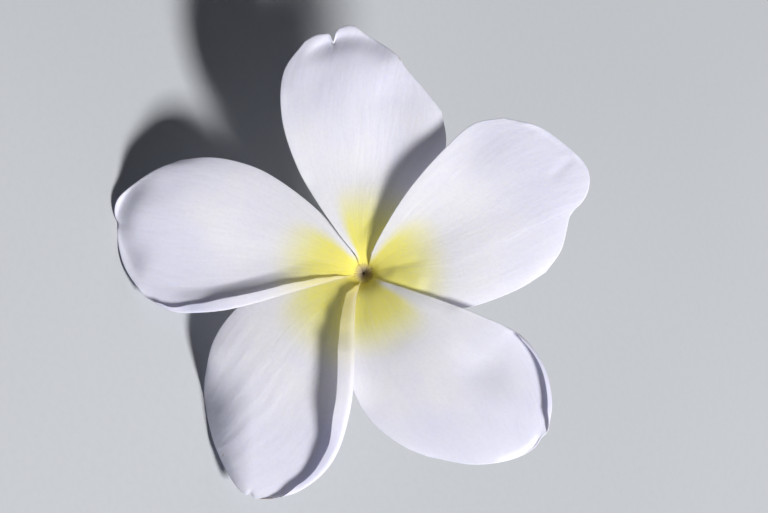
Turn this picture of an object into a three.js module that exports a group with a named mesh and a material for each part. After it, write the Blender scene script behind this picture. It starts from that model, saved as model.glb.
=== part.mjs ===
// A frangipani (plumeria) flower, picked with a short stalk and lying on a flat surface: it leans
// back on the end of its stalk and on the edges of two of its petals, with its face up.
// Millimetres, +Z up. The origin is on that surface, under the middle of the flower.
//
// Everything is made in the flower's own axes first: x to the right and y to the top of the face,
// z out of the face along the tube, and the middle of the throat at zero. The flower is then
// turned in its face, so that its left side is lowest, and leans back.
import * as THREE from "three";

// How the flower lies.
const TURN_DEG = 73.39; // about the flower's own axis
const LEAN_BACK_DEG = 38.21; // between the tube and the vertical

// The petals.
const THROAT_RADIUS = 1.5; // where the petals start
const THROAT_GAP_DEG = 6.5; // half of the slit between two petals there
const PETAL_THICKNESS = 0.5;
const PETAL_ROWS = 15; // from the throat to the tip
const PETAL_COLUMNS = 14; // from the under margin to the upper margin
const ROW_CROWDING = 1.25; // above 1, the rows crowd towards the throat
const MARGIN_SAMPLES = 160;

// The face of the flower: a small steep mouth, then a wide shallow funnel.
const MOUTH_RISE = 0.9;
const MOUTH_WIDTH = 1.2;
const FUNNEL_WIDTH = 4.5;
const PETAL_REACH = 38; // from the throat to a petal's tip
const ARCH_POWER = 5; // the petals bend back only near their tips

// The propeller twist: the upper margin of each petal is lifted and the under margin is lowered,
// evenly near the throat, and farther out mostly near the margins. The lift fades towards the tip.
const TWIST_START = 1.5;
const TWIST_FULL = 11;
const LIFT_FADE_START = 20;
const LIFT_FADE_END = 32;
const LIFT_FADE = 0.7;

// A rolled margin is half an ellipse, this much as high as it is wide.
const ROLL_FLATNESS = 0.62;

// The parts behind the petals, by their heights on the flower's axis.
const TUBE_TOP = -0.6;
const TUBE_FOOT = -18;
const TUBE_WALL = 0.45;
const CALYX_TOP = -16.2;
const CALYX_FLOOR = -18.4;
const CALYX_FOOT = -19.4;
const CALYX_LOBE_RISE = 0.55;
const PEDICEL_TOP = -19.7;
const PEDICEL_FOOT = -23.2;
const ROUND_STEPS = 20;
const STAMEN_COUNT = 5;
const STAMEN_CIRCLE_RADIUS = 0.86;

// The tube and the stalk bend gently: how far the stalk's end lies from the straight axis.
const BEND_X = 0.9;
const BEND_Y = 1.0;

const degrees = THREE.MathUtils.degToRad;

// Each outline is read from the throat outwards: the upper margin (the counter-clockwise side,
// which lies over the neighbour), the end of the petal, and the under margin. throat gives the
// petal's share of the circle around the throat, under side first. funnel is how high the petal
// stands around the throat, slope is how steeply it rises from there, and arch is how far its tip
// bends back. lift and drop are the twist of its upper and under margin. roll lists stations along
// the upper margin: [distance from the throat, reach of the roll, turn of the roll in degrees].
// droop lets one petal's left side hang: past x it falls with the square of the distance, fully
// so below the lower of its two heights.
const PETALS = {
  petal_top: {
    throat: [56, 118],
    upper: [[-1, 2.5], [-3.3, 5.5], [-7.3, 11.3], [-10.2, 16.5], [-12.5, 24], [-12.2, 31], [-9, 35.7]],
    end: [[-6, 36.7], [-4, 37.2], [-2.3, 38.2], [0, 37.1], [4, 34.5], [6.2, 31.9], [9.3, 28.4]],
    under: [[1.1, 3], [3.2, 5.5], [5.8, 8], [8.5, 10.5], [11, 14.3], [12.7, 20], [12, 25]],
    funnel: 0.9,
    slope: 0.075,
    arch: 2.2,
    lift: 0.7,
    drop: 0.5,
    roll: [[0, 0.4, 0], [40, 0.8, 0]],
  },
  petal_upper_right: {
    throat: [-24, 56],
    upper: [[1.5, 3.5], [3, 6.5], [7, 12.8], [12.7, 19.3], [17, 22.9], [21.5, 23.8]],
    end: [[27, 22.4], [32, 18.8], [34.5, 16], [34.4, 12.5], [32.3, 9.7], [30.3, 3.5]],
    under: [[2.9, -0.72], [5.5, -2.3], [8, -3.8], [12, -5.3], [15.3, -5.3], [18, -4.7], [24, -2.3], [28, 0.2]],
    funnel: 2.2,
    slope: 0.075,
    arch: 1.4,
    lift: 1.25,
    drop: 0.85,
    roll: [[0, 0.4, 0], [40, 0.8, 0]],
  },
  petal_lower_right: {
    throat: [252, 336],
    upper: [[2.5, -1.1], [6, -2.2], [12, -4.2], [18, -6.5], [24, -9.5], [27.5, -14], [28.8, -19.5], [28.4, -23.7]],
    end: [[27, -25.2], [26, -26.7], [23, -28.4], [17, -29.3]],
    under: [[-0.7, -3.4], [-1.7, -6.5], [-2.3, -10], [-2.3, -14], [-1.6, -17.8], [1, -22.5], [6, -26.5], [10, -28.2]],
    funnel: 1.6,
    slope: 0.085,
    arch: 1.5,
    lift: 1.25,
    drop: 1.25,
    roll: [[0, 0.4, 0], [40, 0.8, 0]],
  },
  petal_lower_left: {
    throat: [190, 252],
    upper: [[-1.2, -3.5], [-1.5, -7.5], [-1.6, -15.5], [-2.1, -20.5], [-4, -27.2], [-6.5, -30.8], [-10.5, -33.6],
      [-14.2, -34.6]],
    end: [[-17.8, -34.2], [-20.2, -31.9], [-23, -26.3], [-24.6, -19.5]],
    under: [[-2.9, -0.9], [-6, -0.6], [-10, -0.5], [-14, -1.5], [-19.7, -5.6], [-23, -10.3], [-24.5, -16.2]],
    funnel: 1.6,
    slope: 0.08,
    arch: 2,
    lift: 1.25,
    drop: 1.25,
    droop: { x: -17, curve: 0.065, top: -11, bottom: -21 },
    roll: [[2, 0.8, 0], [7, 1.9, 130], [13, 2.4, 160], [20, 2.4, 160], [27, 1.5, 130], [34, 1, 50], [39, 0.8, 0]],
  },
  petal_left: {
    throat: [118, 190],
    upper: [[-5, -1.1], [-10, -2.6], [-20, -5.6], [-25, -6.1], [-29, -5.7], [-33.3, -3.8]],
    end: [[-36.3, 0.5], [-37.7, 6], [-38.2, 9.8], [-37, 12.2], [-32, 15.8]],
    under: [[-1.55, 2.4], [-2.75, 4], [-7, 9.5], [-15, 15.5], [-20, 17.3], [-24, 17.8], [-28, 17.4]],
    funnel: 1.6,
    slope: 0.1,
    arch: 1.8,
    lift: 1.25,
    drop: 1.25,
    roll: [[3, 0.8, 0], [11, 1.3, 120], [20, 2, 160], [26, 1.4, 120], [31, 0.9, 30], [36, 0.8, 0]],
  },
};

const PETAL_MATERIAL = { color: 0xf1eff2, roughness: 0.5, metalness: 0 };
const GREEN_MATERIAL = { color: 0x8a9a55, roughness: 0.6, metalness: 0 };
const TUBE_MATERIAL = { color: 0xe9e8c4, roughness: 0.5, metalness: 0 };
const ANTHER_MATERIAL = { color: 0xe0c46a, roughness: 0.7, metalness: 0 };

const flower = new THREE.Group();

function addPiece(name, geometry, material) {
  const piece = new THREE.Mesh(geometry, new THREE.MeshStandardMaterial(material));
  piece.name = name;
  flower.add(piece);
  return piece;
}

// ---- Petals ----

function curveThrough(points) {
  const places = points.map(([x, y]) => new THREE.Vector3(x, y, 0));
  return new THREE.CatmullRomCurve3(places, false, "centripetal");
}

function throatPoint(angleDeg) {
  const angle = degrees(angleDeg);
  return [THROAT_RADIUS * Math.cos(angle), THROAT_RADIUS * Math.sin(angle)];
}

// The petal's three margins as curves, and the short arc that it starts on.
function marginsOf(petal) {
  const underAngle = petal.throat[0] + THROAT_GAP_DEG;
  const upperAngle = petal.throat[1] - THROAT_GAP_DEG;
  const shoulder = petal.upper[petal.upper.length - 1];
  const otherShoulder = petal.under[petal.under.length - 1];
  return {
    upper: curveThrough([throatPoint(upperAngle), ...petal.upper]),
    under: curveThrough([throatPoint(underAngle), ...petal.under]),
    end: curveThrough([shoulder, ...petal.end, otherShoulder]),
    start: (across) => {
      const [x, y] = throatPoint(THREE.MathUtils.lerp(underAngle, upperAngle, across));
      return new THREE.Vector3(x, y, 0);
    },
  };
}

// The reach and turn of the rolled margin, at a distance from the throat along the upper margin.
function rollAt(stations, distance) {
  const last = stations.length - 1;
  let next = 1;
  while (next < last && stations[next][0] < distance) {
    next += 1;
  }
  const [from, fromReach, fromTurn] = stations[next - 1];
  const [to, toReach, toTurn] = stations[next];
  const share = THREE.MathUtils.smoothstep(distance, from, to);
  const turn = degrees(Math.max(THREE.MathUtils.lerp(fromTurn, toTurn, share), 1));
  const halfWidth = THREE.MathUtils.lerp(fromReach, toReach, share) / Math.sin(Math.min(turn, Math.PI / 2));
  const reach = halfWidth * Math.sin(Math.min(turn, Math.PI / 2));
  return { turn, halfWidth, reach, hidden: halfWidth * turn - reach };
}

// Stations close together along the upper margin, each with its outward direction and its roll.
function upperStations(petal, curve) {
  const length = curve.getLength();
  const stations = [];
  for (let step = 0; step <= MARGIN_SAMPLES; step += 1) {
    const share = step / MARGIN_SAMPLES;
    const along = curve.getTangentAt(share);
    stations.push({
      place: curve.getPointAt(share),
      outward: new THREE.Vector3(-along.y, along.x, 0),
      roll: rollAt(petal.roll, share * length),
    });
  }
  return stations;
}

// A smooth four-sided patch between the margins. across runs from the under to the upper margin,
// and along from the throat to the petal's end.
function patchPoint(margins, upperEdge, across, along) {
  const point = new THREE.Vector3();
  const add = (place, weight) => point.addScaledVector(place, weight);
  add(margins.start(across), 1 - along);
  add(margins.end.getPointAt(1 - across), along);
  add(margins.under.getPointAt(along), 1 - across);
  add(upperEdge(along), across);
  add(margins.start(0), -(1 - across) * (1 - along));
  add(margins.start(1), -across * (1 - along));
  add(margins.end.getPointAt(1), -(1 - across) * along);
  add(margins.end.getPointAt(0), -across * along);
  return point;
}

// How far the petal's middle surface stands out of the face at a place.
function heightAt(petal, place, across) {
  const radius = Math.hypot(place.x, place.y);
  const outside = Math.max(radius - THROAT_RADIUS, 0);
  const mouth = MOUTH_RISE * (1 - Math.exp(-outside / MOUTH_WIDTH));
  const funnel = petal.funnel * (1 - Math.exp(-outside / FUNNEL_WIDTH));
  const far = petal.slope * outside - petal.arch * (radius / PETAL_REACH) ** ARCH_POWER;
  const share = THREE.MathUtils.clamp((radius - TWIST_START) / (TWIST_FULL - TWIST_START), 0, 1);
  const side = 2 * across - 1;
  const tilt = THREE.MathUtils.lerp(side, side * Math.abs(side), share);
  const fade = LIFT_FADE * THREE.MathUtils.smoothstep(radius, LIFT_FADE_START, LIFT_FADE_END);
  const twist = tilt * Math.sqrt(share) * (tilt > 0 ? petal.lift * (1 - fade) : petal.drop);
  return mouth + funnel + far + twist - droopAt(petal.droop, place);
}

function droopAt(droop, place) {
  if (!droop) {
    return 0;
  }
  const past = Math.max(droop.x - place.x, 0);
  return droop.curve * past ** 2 * THREE.MathUtils.smoothstep(-place.y, -droop.top, -droop.bottom);
}

// Turns the flat margin up and over: the material past the roll's start follows half an ellipse.
function rollUp(point, stations) {
  let nearest = stations[0];
  for (const station of stations) {
    if (station.place.distanceToSquared(point) < nearest.place.distanceToSquared(point)) {
      nearest = station;
    }
  }
  const { turn, halfWidth, reach } = nearest.roll;
  const past = point.clone().sub(nearest.place).dot(nearest.outward) + reach;
  if (past <= 0) {
    return 0;
  }
  const angle = past / halfWidth;
  point.addScaledVector(nearest.outward, halfWidth * Math.sin(Math.min(angle, turn)) - past);
  return ROLL_FLATNESS * halfWidth * (1 - Math.cos(Math.min(angle, turn)));
}

function petalMiddle(petal) {
  const margins = marginsOf(petal);
  const stations = upperStations(petal, margins.upper);
  const upperEdge = (along) => {
    const station = stations[Math.round(along * MARGIN_SAMPLES)];
    return station.place.clone().addScaledVector(station.outward, station.roll.hidden);
  };
  const rows = [];
  for (let i = 0; i <= PETAL_ROWS; i += 1) {
    const along = (i / PETAL_ROWS) ** ROW_CROWDING;
    const row = [];
    for (let j = 0; j <= PETAL_COLUMNS; j += 1) {
      const across = j / PETAL_COLUMNS;
      const point = patchPoint(margins, upperEdge, across, along);
      const height = heightAt(petal, point, across);
      const lift = rollUp(point, stations);
      row.push(point.setZ(height + lift));
    }
    rows.push(row);
  }
  return rows;
}

// The two triangles of a grid cell. The diagonals run away from the petal's two shoulders.
function cellTriangles(a, b, c, d, leftHalf) {
  return leftHalf ? [a, b, d, b, c, d] : [a, b, c, a, c, d];
}

function gridTriangles(number, columns, rows) {
  const triangles = [];
  for (let i = 0; i < rows; i += 1) {
    for (let j = 0; j < columns; j += 1) {
      const corners = [number(i, j), number(i + 1, j), number(i + 1, j + 1), number(i, j + 1)];
      triangles.push(...cellTriangles(...corners, j < columns / 2));
    }
  }
  return triangles;
}

function meshFrom(points, triangles) {
  const geometry = new THREE.BufferGeometry().setFromPoints(points);
  geometry.setIndex(triangles);
  return geometry;
}

function petalGeometry(petal) {
  const width = PETAL_COLUMNS + 1;
  const number = (i, j) => i * width + j;
  const middle = petalMiddle(petal).flat();
  const faces = gridTriangles(number, PETAL_COLUMNS, PETAL_ROWS);
  const sheet = meshFrom(middle, faces);
  sheet.computeVertexNormals();
  const normals = sheet.getAttribute("normal");
  const side = (sign) => middle.map((point, n) => {
    const normal = new THREE.Vector3().fromBufferAttribute(normals, n);
    return point.clone().addScaledVector(normal, (sign * PETAL_THICKNESS) / 2);
  });
  const back = middle.length;
  const triangles = [...faces];
  for (let n = 0; n < faces.length; n += 3) {
    triangles.push(back + faces[n], back + faces[n + 2], back + faces[n + 1]);
  }
  const rim = [];
  for (let j = 0; j < PETAL_COLUMNS; j += 1) {
    rim.push(number(0, j));
  }
  for (let i = 0; i < PETAL_ROWS; i += 1) {
    rim.push(number(i, PETAL_COLUMNS));
  }
  for (let j = PETAL_COLUMNS; j > 0; j -= 1) {
    rim.push(number(PETAL_ROWS, j));
  }
  for (let i = PETAL_ROWS; i > 0; i -= 1) {
    rim.push(number(i, 0));
  }
  rim.forEach((here, n) => {
    const next = rim[(n + 1) % rim.length];
    triangles.push(here, next, back + here, next, back + next, back + here);
  });
  return meshFrom([...side(1), ...side(-1)], triangles);
}

// ---- The parts on the flower's axis ----

// Shifts every point sideways as the tube and the stalk bend.
function bend(geometry) {
  const places = geometry.getAttribute("position");
  for (let n = 0; n < places.count; n += 1) {
    const share = Math.min(places.getZ(n) / PEDICEL_FOOT, 1);
    const amount = Math.max(share, 0) ** 2;
    places.setX(n, places.getX(n) + BEND_X * amount);
    places.setY(n, places.getY(n) + BEND_Y * amount);
  }
  return geometry;
}

// A round body about the flower's axis, from [radius, height] pairs.
function turned(profile, steps = ROUND_STEPS) {
  const points = profile.map(([radius, height]) => new THREE.Vector2(radius, height));
  return new THREE.LatheGeometry(points, steps).rotateX(Math.PI / 2);
}

function tubeGeometry() {
  const outside = [[1.45, TUBE_FOOT], [1.8, -16.6], [1.95, -15], [1.8, -13], [1.5, -10], [1.42, -5], [1.5, -2],
    [1.75, TUBE_TOP]];
  const inside = outside.map(([radius, height]) => [radius - TUBE_WALL, height]).reverse();
  return bend(turned([...outside, ...inside, outside[0]]));
}

function calyxGeometry() {
  const rimLow = CALYX_TOP - 0.3;
  const geometry = turned([
    [0, CALYX_FOOT], [1.15, CALYX_FOOT], [2.1, -18.6], [2.45, -17.6], [2.5, rimLow], [2.4, CALYX_TOP],
    [2.2, rimLow], [2.1, -17.6], [1.6, CALYX_FLOOR], [0, CALYX_FLOOR],
  ]);
  const places = geometry.getAttribute("position");
  for (let n = 0; n < places.count; n += 1) {
    const angle = Math.atan2(places.getY(n), places.getX(n));
    const share = THREE.MathUtils.smoothstep(places.getZ(n), -17.6, CALYX_TOP);
    places.setZ(n, places.getZ(n) + share * CALYX_LOBE_RISE * Math.cos(5 * angle));
  }
  return bend(geometry);
}

function pedicelGeometry() {
  return bend(turned([
    [0, PEDICEL_FOOT], [0.95, PEDICEL_FOOT], [1.05, PEDICEL_FOOT + 0.4], [0.95, -22], [0.98, -21], [1.2, -20.1],
    [1.1, PEDICEL_TOP], [0, PEDICEL_TOP],
  ], 14));
}

function stamenGeometry(turn) {
  const geometry = turned([
    [0, -17], [0.13, -16.9], [0.13, -16.1], [0.29, -15.8], [0.3, -15], [0.22, -14], [0, -13.4],
  ], 8);
  geometry.translate(STAMEN_CIRCLE_RADIUS, 0, 0);
  return bend(geometry.rotateZ(turn));
}

function pistilGeometry() {
  return bend(turned([
    [0, -18.1], [0.42, -18], [0.5, -17.6], [0.3, -17.1], [0.14, -16.9], [0.14, -16.7], [0.32, -16.5], [0.26, -16.2],
    [0, -16.1],
  ], 10));
}

for (const [name, petal] of Object.entries(PETALS)) {
  addPiece(name, petalGeometry(petal), PETAL_MATERIAL);
}
addPiece("corolla_tube", tubeGeometry(), TUBE_MATERIAL);
addPiece("calyx", calyxGeometry(), GREEN_MATERIAL);
addPiece("pedicel", pedicelGeometry(), GREEN_MATERIAL);
for (let n = 0; n < STAMEN_COUNT; n += 1) {
  addPiece(`stamen_${n + 1}`, stamenGeometry((n * 2 * Math.PI) / STAMEN_COUNT), ANTHER_MATERIAL);
}
addPiece("pistil", pistilGeometry(), GREEN_MATERIAL);

// ---- Rest pose ----

flower.rotation.z = degrees(TURN_DEG);
const resting = new THREE.Group();
resting.add(flower);
resting.rotation.x = degrees(LEAN_BACK_DEG);
resting.updateMatrixWorld(true);
const bounds = new THREE.Box3().setFromObject(resting, true);
const middle = bounds.getCenter(new THREE.Vector3());
resting.position.set(-middle.x, -middle.y, -bounds.min.z);

export default resting;
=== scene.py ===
"""The looks of a picked frangipani flower that lies on a pale table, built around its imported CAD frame.

Everything is modelled in the flower's own axes, in millimetres: x to the right and y to the top of
the face, z out of the face along the tube, and the middle of the throat at zero. TO_WORLD then lays
it where the CAD flower lies, in metres.
"""

import math

import bpy
import numpy as np
from mathutils import Matrix, Vector


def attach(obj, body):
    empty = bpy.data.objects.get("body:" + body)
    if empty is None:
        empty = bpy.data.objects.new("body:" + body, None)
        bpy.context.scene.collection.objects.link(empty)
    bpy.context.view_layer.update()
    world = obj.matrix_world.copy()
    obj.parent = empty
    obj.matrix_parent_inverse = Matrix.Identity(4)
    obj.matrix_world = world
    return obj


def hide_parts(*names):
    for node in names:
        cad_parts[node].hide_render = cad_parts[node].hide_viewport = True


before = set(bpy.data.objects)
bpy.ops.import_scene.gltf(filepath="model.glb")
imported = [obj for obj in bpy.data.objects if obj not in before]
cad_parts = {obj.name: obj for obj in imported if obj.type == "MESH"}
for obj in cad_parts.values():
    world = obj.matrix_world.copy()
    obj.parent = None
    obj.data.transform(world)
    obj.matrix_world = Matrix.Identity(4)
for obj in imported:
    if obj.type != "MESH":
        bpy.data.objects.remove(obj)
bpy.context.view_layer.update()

MM = 0.001

# How the flower lies, as the CAD model has it.
TURN = math.radians(73.39)
LEAN_BACK = math.radians(38.21)
THROAT_PLACE = Vector((1.644, 1.711, 18.105)) * MM

TO_WORLD = (
    Matrix.Translation(THROAT_PLACE)
    @ Matrix.Rotation(LEAN_BACK, 4, "X")
    @ Matrix.Rotation(TURN, 4, "Z")
)

# The face of the flower: a small steep mouth, then a wide shallow funnel.
THROAT_RADIUS = 1.5
THROAT_SLIT_DEG = 0.8  # half of the slit between two petals at the throat
MOUTH_RISE, MOUTH_WIDTH = 0.9, 1.2
FUNNEL_WIDTH = 4.5
PETAL_REACH = 38.0
ARCH_POWER = 5
TWIST_START, TWIST_FULL = 1.5, 11.0
LIFT_FADE_START, LIFT_FADE_END, LIFT_FADE = 20.0, 32.0, 0.7
ROLL_BEND = 0.65  # how far the bend of a rolled margin stands out from where it begins
ROLL_BEND_SHARE = 0.45  # a narrow roll's bend is at most this share of its width

# How finely a petal is meshed, and how thick it is in the middle and at its margin.
PETAL_ROWS, PETAL_COLUMNS = 150, 132
ROW_CROWDING = 1.15  # the rows stand closer together near the throat
COLUMN_CROWDING = 0.55  # and the columns near the margins
CURVE_SAMPLES = 420
PETAL_THICKNESS, MARGIN_THICKNESS, MARGIN_TAPER = 0.46, 0.09, 1.6
EDGE_FADE = 2.5  # how gently a curled stretch of margin begins and ends
FOLD_FADE = 0.3  # over how much of its length each end of a fold fades
PLEAT_SIDE_FADE = 0.18  # as a share of the petal's width
PLEAT_START_FADE, PLEAT_END_FADE = 6, 4
GLOW_FULL = 0.42  # up to which share of its reach the yellow is at its full strength
GLOW_EDGE = 0.1  # how gently the yellow ends sideways, as a share of the petal's width
GLOW_NARROWS = 0.14  # how far each side of the yellow draws in, from the throat to its end
YELLOW_ALL_ROUND = 4.0  # how far out the yellow still reaches the margins

# The petal's foot goes on down into the tube, as (radius, height) pairs that end below its throat arc.
FOOT_PROFILE = [
    (1.0, -2.6), (0.8, -2.1), (0.55, -1.7), (0.36, -1.3), (0.3, -0.98), (0.38, -0.74),
    (0.6, -0.54), (0.88, -0.35), (1.16, -0.19), (1.37, -0.07),
]
FOOT_NARROWEST = 0.3
FOOT_BULGE_POWER = 1.5  # how much the bulge keeps to the middle of the foot

# throat is the arc around the throat that the petal starts from, in degrees. Its outline is read
# from there outwards: the upper margin, which lies over the neighbour, the end of the petal, and the
# under margin. funnel is how high the petal stands around the throat, slope is how steeply it rises
# from there, and arch is how far its tip bends back. lift and drop are the twist of its upper and
# under margin. bulge is how far its foot stands into the throat. droop is how one petal's left side
# hangs: (x that it starts at, curve, y where it starts, y where it is full). roll lists stations
# along the upper margin: (distance from the throat, turn in degrees, width of the turned strip,
# height of its free edge).
#
# The rest is the petal's own wear and growth, in millimetres:
# nudges: places on the margin that are pushed in or out, as (x, y, push x, push y, breadth, reach)
# curls: stretches of margin that turn up (or down, if negative), as (from, to, width, rise)
# folds: soft valleys (or ridges, if negative), as (points, depth, width to the left, to the right)
# dents: shallow hollows, as (x, y, length, breadth, turn in degrees, depth)
# pleats: ripples along the veins, as (across from, across to, out from, out to, count, height)
# swells: rises towards a margin, as (margin, distances from the throat where the swell starts, is
#   full and ends, distances from the margin where it is full and where it ends, rise)
# flecks: brown spots, as (x, y, length, breadth, turn in degrees)
# glow: where the yellow lies: (across from, across to, how far out it ends)
PETALS = {
    "petal_top": {
        "throat": (56, 118),
        "upper": [(-1, 2.5), (-3.3, 5.5), (-7.3, 11.3), (-10.2, 16.5), (-12.5, 24), (-12.2, 31),
                  (-9, 35.7)],
        "end": [(-7.2, 36.7), (-5.6, 36.9), (-4, 37.3), (-2.5, 38.2), (-1.4, 38.1), (0, 37.1), (4, 34.5),
                (5.5, 33.2), (6.3, 31.9), (9.3, 28.4)],
        "under": [(1.1, 3), (3.2, 5.5), (5.8, 8), (8.5, 10.5), (11, 14.3), (12.7, 20), (12, 25)],
        "funnel": 0.9, "slope": 0.075, "arch": 2.2, "lift": 0.7, "drop": 0.5,
        "bulge": 0.1,
        "roll": [(0, 0, 0.6, 0.5), (40, 0, 0.6, 0.5)],
        "nudges": [(-4.75, 37.1, 0.1, -1.35, 0.34, 1.3), (-3.7, 37.7, -0.25, 0.15, 0.4, 0.6)],
        "curls": [((-9.5, 15.5), (-12.6, 27), 2.4, 0.25)],
        "folds": [([(-8.8, 31.5), (-7.6, 34), (-4.8, 35.7), (-2, 36.4), (0.8, 36), (3.4, 34.7),
                    (5.4, 33.2)], 0.6, 1.1, 1.8),
                  ([(3, 10), (4.2, 18), (4.6, 25), (3, 33)], 0.7, 5.0, 5.0)],
        "dents": [(-6.5, 30.5, 4.5, 2.2, 60, 0.12)],
        "pleats": [],
        "swells": [("under", 1, 6, 14, 0.6, 3.6, 0.9)],
        "flecks": [(5.7, 33.1, 0.5, 0.3, 130), (-4.7, 35.7, 0.35, 0.3, 0)],
        "glow": (-0.3, 0.86, 15.5),
    },
    "petal_upper_right": {
        "throat": (-24, 56),
        "upper": [(1.5, 3.5), (3, 6.5), (7, 12.8), (12.7, 19.3), (17, 22.9), (21.5, 23.8)],
        "end": [(27, 22.4), (32, 18.8), (34.2, 16.4), (34.7, 14.5), (34.4, 12.5), (33.5, 10.9),
                (32.3, 9.7), (31.6, 8.6), (31.2, 6.8), (30.3, 3.5)],
        "under": [(2.8, -1.3), (5.5, -2.6), (8, -3.9), (12, -5.3), (15.3, -5.3), (18, -4.7),
                  (24, -2.3), (28, 0.2)],
        "funnel": 2.2, "slope": 0.075, "arch": 1.4, "lift": 1.25, "drop": 0.85,
        "bulge": 0.04,
        "roll": [(0, 0, 0.6, 0.5), (40, 0, 0.6, 0.5)],
        "nudges": [],
        "curls": [((26, 22.6), (32.3, 18.5), 0.8, 0.35)],
        "folds": [([(26.5, 21.6), (29.5, 19.7), (31.8, 17.8)], 0.08, 0.4, 0.4),
                  ([(28, 14), (30.2, 16), (32.6, 18.2)], 0.08, 0.8, 0.8),
                  ([(2.6, 0.1), (6, -0.8), (10, -2.6)], -0.32, 1.8, 0.9),
                  ([(2.2, 0.5), (6, 1.4), (10, 2.3)], 0.14, 0.7, 0.7)],
        "dents": [(16.5, 20.5, 5.5, 4.2, 25, 0.5)],
        "pleats": [],
        "swells": [],
        "flecks": [],
        "glow": (-0.3, 0.88, 15.0),
    },
    "petal_lower_right": {
        "throat": (252, 336),
        "upper": [(2.5, -1.1), (6, -2.2), (12, -4.2), (18, -6.5), (24, -9.5), (27.5, -14),
                  (28.8, -19.5), (28.4, -23.7)],
        "end": [(27.8, -24.4), (27, -25.2), (26, -26.7), (23, -28.4), (17, -29.3)],
        "under": [(-1.15, -3.1), (-2.0, -6.5), (-2.45, -10), (-2.3, -14), (-1.6, -17.8), (1, -22.5),
                  (6, -26.5), (10, -28.2)],
        "funnel": 1.6, "slope": 0.085, "arch": 1.5, "lift": 1.25, "drop": 1.25,
        "bulge": 0.1,
        "roll": [(0, 0, 0.6, 0.4), (21, 10, 0.6, 0.5), (25.5, 140, 0.7, 0.9), (37, 165, 0.7, 0.9),
                 (41, 60, 0.45, 0.5)],
        "nudges": [],
        "curls": [((26.2, -26.4), (22.5, -28.6), 1.2, -0.35), ((-0.9, -4.5), (-2.3, -10), 2.2, 0.3),
                  ((-2.3, -12), (-2.1, -15), 6.0, 0.8), ((5, -1.9), (13, -4.6), 2.0, -0.3)],
        "folds": [([(1.6, -2), (3.2, -5.5), (4.8, -9.5), (6, -13)], 0.15, 2.6, 2.6)],
        "dents": [(18.2, -14.6, 4.6, 3.2, -35, 0.55), (22.6, -23, 4.5, 1.3, -40, 0.14)],
        "pleats": [],
        "swells": [],
        "flecks": [],
        "glow": (-0.04, 0.86, 14.5),
    },
    "petal_lower_left": {
        "throat": (190, 252),
        "upper": [(-1.2, -3.5), (-1.5, -7.5), (-1.6, -15.5), (-2.1, -20.5), (-4, -27.2), (-6.5, -30.8),
                  (-10.5, -33.6), (-14.2, -34.6)],
        "end": [(-16.4, -34.6), (-18.4, -33.9), (-20.2, -31.9), (-23, -26.3), (-24.6, -19.5)],
        "under": [(-2.9, -0.4), (-6, -0.45), (-10, -0.5), (-14, -1.5), (-19.7, -5.6), (-23, -10.3),
                  (-24.5, -16.2)],
        "funnel": 1.6, "slope": 0.08, "arch": 2.0, "lift": 1.25, "drop": 1.25,
        "bulge": 0.06,
        "droop": (-17, 0.065, -11, -21),
        "roll": [(0, 60, 0.1, 0.1), (1.0, 150, 0.8, 0.35), (2.2, 172, 1.55, 0.45), (7, 176, 2.1, 0.9),
                 (11, 176, 2.4, 1.6), (20, 176, 2.3, 1.7), (27, 174, 1.6, 1.5), (34, 165, 1.0, 1.0),
                 (41, 20, 0.6, 0.4)],
        "nudges": [(-17.5, -34.4, 0.15, 0.5, 0.5, 1.2)],
        "curls": [((-24.7, -17), (-23.2, -25.5), 0.9, 0.12), ((-21.8, -29), (-18.8, -33.6), 1.6, -0.4)],
        "folds": [],
        "dents": [],
        "pleats": [(0.02, 0.66, 17, 38, 10.5, 0.013)],
        "swells": [("upper", 0, 4.5, 13, 2.0, 4.6, 0.3)],
        "flecks": [(-14.6, -34.7, 1.3, 0.22, 0), (-21.6, -28, 0.35, 0.12, 60)],
        "glow": (0.08, 1.4, 17.0),
    },
    "petal_left": {
        "throat": (118, 190),
        "upper": [(-5, -1.1), (-10, -2.5), (-20, -5.25), (-25, -5.85), (-29, -5.75), (-33.3, -3.65)],
        "end": [(-36.3, 0.6), (-37.45, 4), (-37.75, 6.2), (-37.8, 7.7), (-38.15, 9.3), (-37.9, 10.9),
                (-36.9, 12.3), (-32, 15.8)],
        "under": [(-1.3, 2.55), (-2.45, 4.2), (-6.9, 9.55), (-15, 15.5), (-20, 17.3), (-24, 17.8),
                  (-28, 17.4)],
        "funnel": 1.6, "slope": 0.1, "arch": 1.4, "lift": 1.25, "drop": 1.25,
        "bulge": 0.1,
        "roll": [(0, 60, 0.1, 0.1), (3, 150, 0.6, 0.2), (6, 168, 1.0, 0.22), (11, 172, 1.4, 0.22),
                 (20, 176, 1.7, 0.22), (25, 172, 1.3, 0.35), (30, 130, 0.7, 0.6), (34, 10, 0.5, 0.4)],
        "nudges": [(-38, 7.5, 0.22, 0, 0.7, 1.6)],
        "curls": [((-37.3, 3), (-35, -2.5), 1.6, 0.12)],
        "folds": [([(-31, 15.9), (-35.4, 13.2), (-37.2, 10.4), (-37.75, 8), (-37.2, 5.4), (-36, 2.8),
                    (-33.6, -0.8)], 0.8, 2.0, 0.8)],
        "dents": [(-34.5, 3, 3.5, 1.6, 70, 0.1), (-32, 12.5, 4, 1.8, 30, 0.1)],
        "pleats": [],
        "swells": [("upper", 1, 17, 36, 1.4, 3.9, 0.8)],
        "flecks": [(-27.4, 9.3, 0.16, 0.12, 0)],
        "glow": (0.12, 1.4, 15.5),
    },
}

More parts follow.
